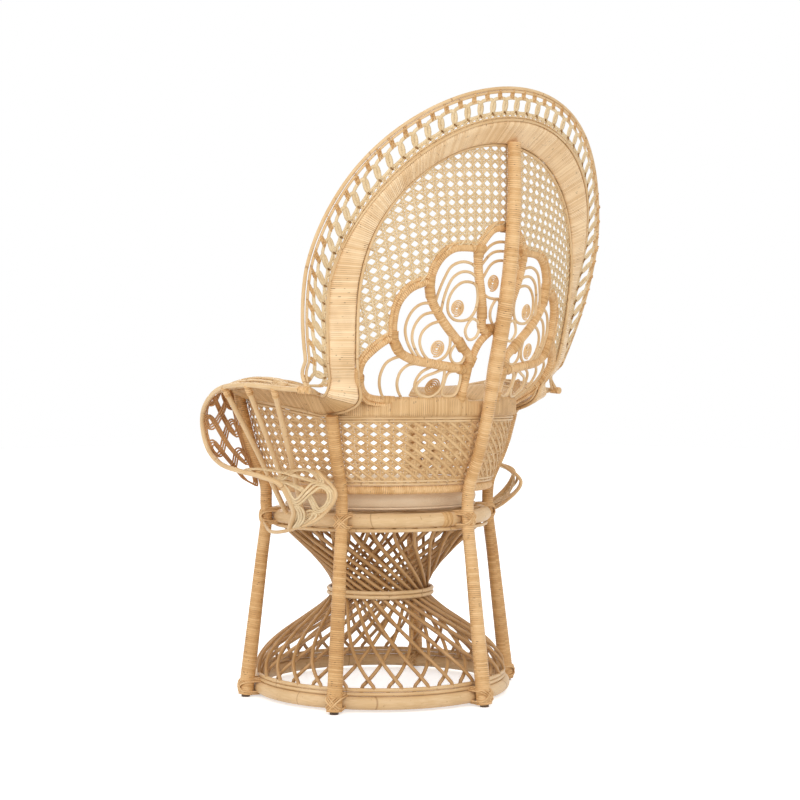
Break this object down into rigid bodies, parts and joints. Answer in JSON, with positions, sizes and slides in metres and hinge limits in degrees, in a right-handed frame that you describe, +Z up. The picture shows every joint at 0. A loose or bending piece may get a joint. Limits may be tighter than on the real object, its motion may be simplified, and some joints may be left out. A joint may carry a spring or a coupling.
{
  "type": "peacock chair",
  "caption": "Rattan peacock chair: hourglass base of bent strands, round cushioned seat in a cane barrel wall with flared arms, and a tall oval fan back with openwork border and scroll motif.",
  "frame": {"origin": "centre of the footprint on the floor, under the middle of the whole chair's box", "axes": "+Z up, the sitter faces -Y, +X is the sitter's left"},
  "size_m": [0.9496, 0.7602, 1.3656],
  "materials": {
    "wrap": "bindings of peeled cane over poles, satin",
    "pole": "bare peeled rattan pole, satin",
    "strand": "bent rattan strands, darker, satin",
    "cane": "cane webbing and thin reeds, matt",
    "cushion": "plain woven cloth, warm off-white, matt",
    "glide": "dark brown moulded glides, matt"
  },
  "bodies": {
    "root": {"base_ring": "pole", "base_lacing_rod": "pole", "hourglass_outer_strands": "strand", "hourglass_inner_strands": "strand", "waist_hoop_lower": "pole", "waist_hoop_upper": "pole", "seat_ring": "pole", "seat_deck": "pole", "seat_cushion": "cushion", "rear_pole": "wrap", "rear_post_left": "wrap", "rear_post_right": "wrap", "front_leg_left": "wrap", "front_leg_right": "wrap", "arm_post_left": "wrap", "arm_post_right": "wrap", "glide_rear": "glide", "glide_rear_left": "glide", "glide_rear_right": "glide", "glide_front_left": "glide", "glide_front_right": "glide", "wall_hoop": "wrap", "wall_lower_trim": "pole", "wall_top_trim": "pole", "wall_cane": "cane", "back_rail": "wrap", "fan_band": "wrap", "arm_band_left": "wrap", "arm_band_right": "wrap", "fan_rim_outer": "pole", "fan_rim_inner": "pole", "fan_border": "cane", "motif_frame": "wrap", "fan_cane": "cane", "motif_scroll_top": "cane", "motif_scroll_left_upper": "cane", "motif_scroll_right_upper": "cane", "motif_scroll_left_middle": "cane", "motif_scroll_right_middle": "cane", "motif_scroll_left_lower": "cane", "motif_scroll_right_lower": "cane", "arm_rim_left": "pole", "arm_lower_rim_left": "pole", "arm_rib_left_rear": "pole", "arm_rib_left_middle": "pole", "arm_rib_left_front": "pole", "arm_knots_left": "cane", "arm_dish_left": "cane", "arm_rim_right": "pole", "arm_lower_rim_right": "pole", "arm_rib_right_rear": "pole", "arm_rib_right_middle": "pole", "arm_rib_right_front": "pole", "arm_knots_right": "cane", "arm_dish_right": "cane"}
  },
  "joints": []
}
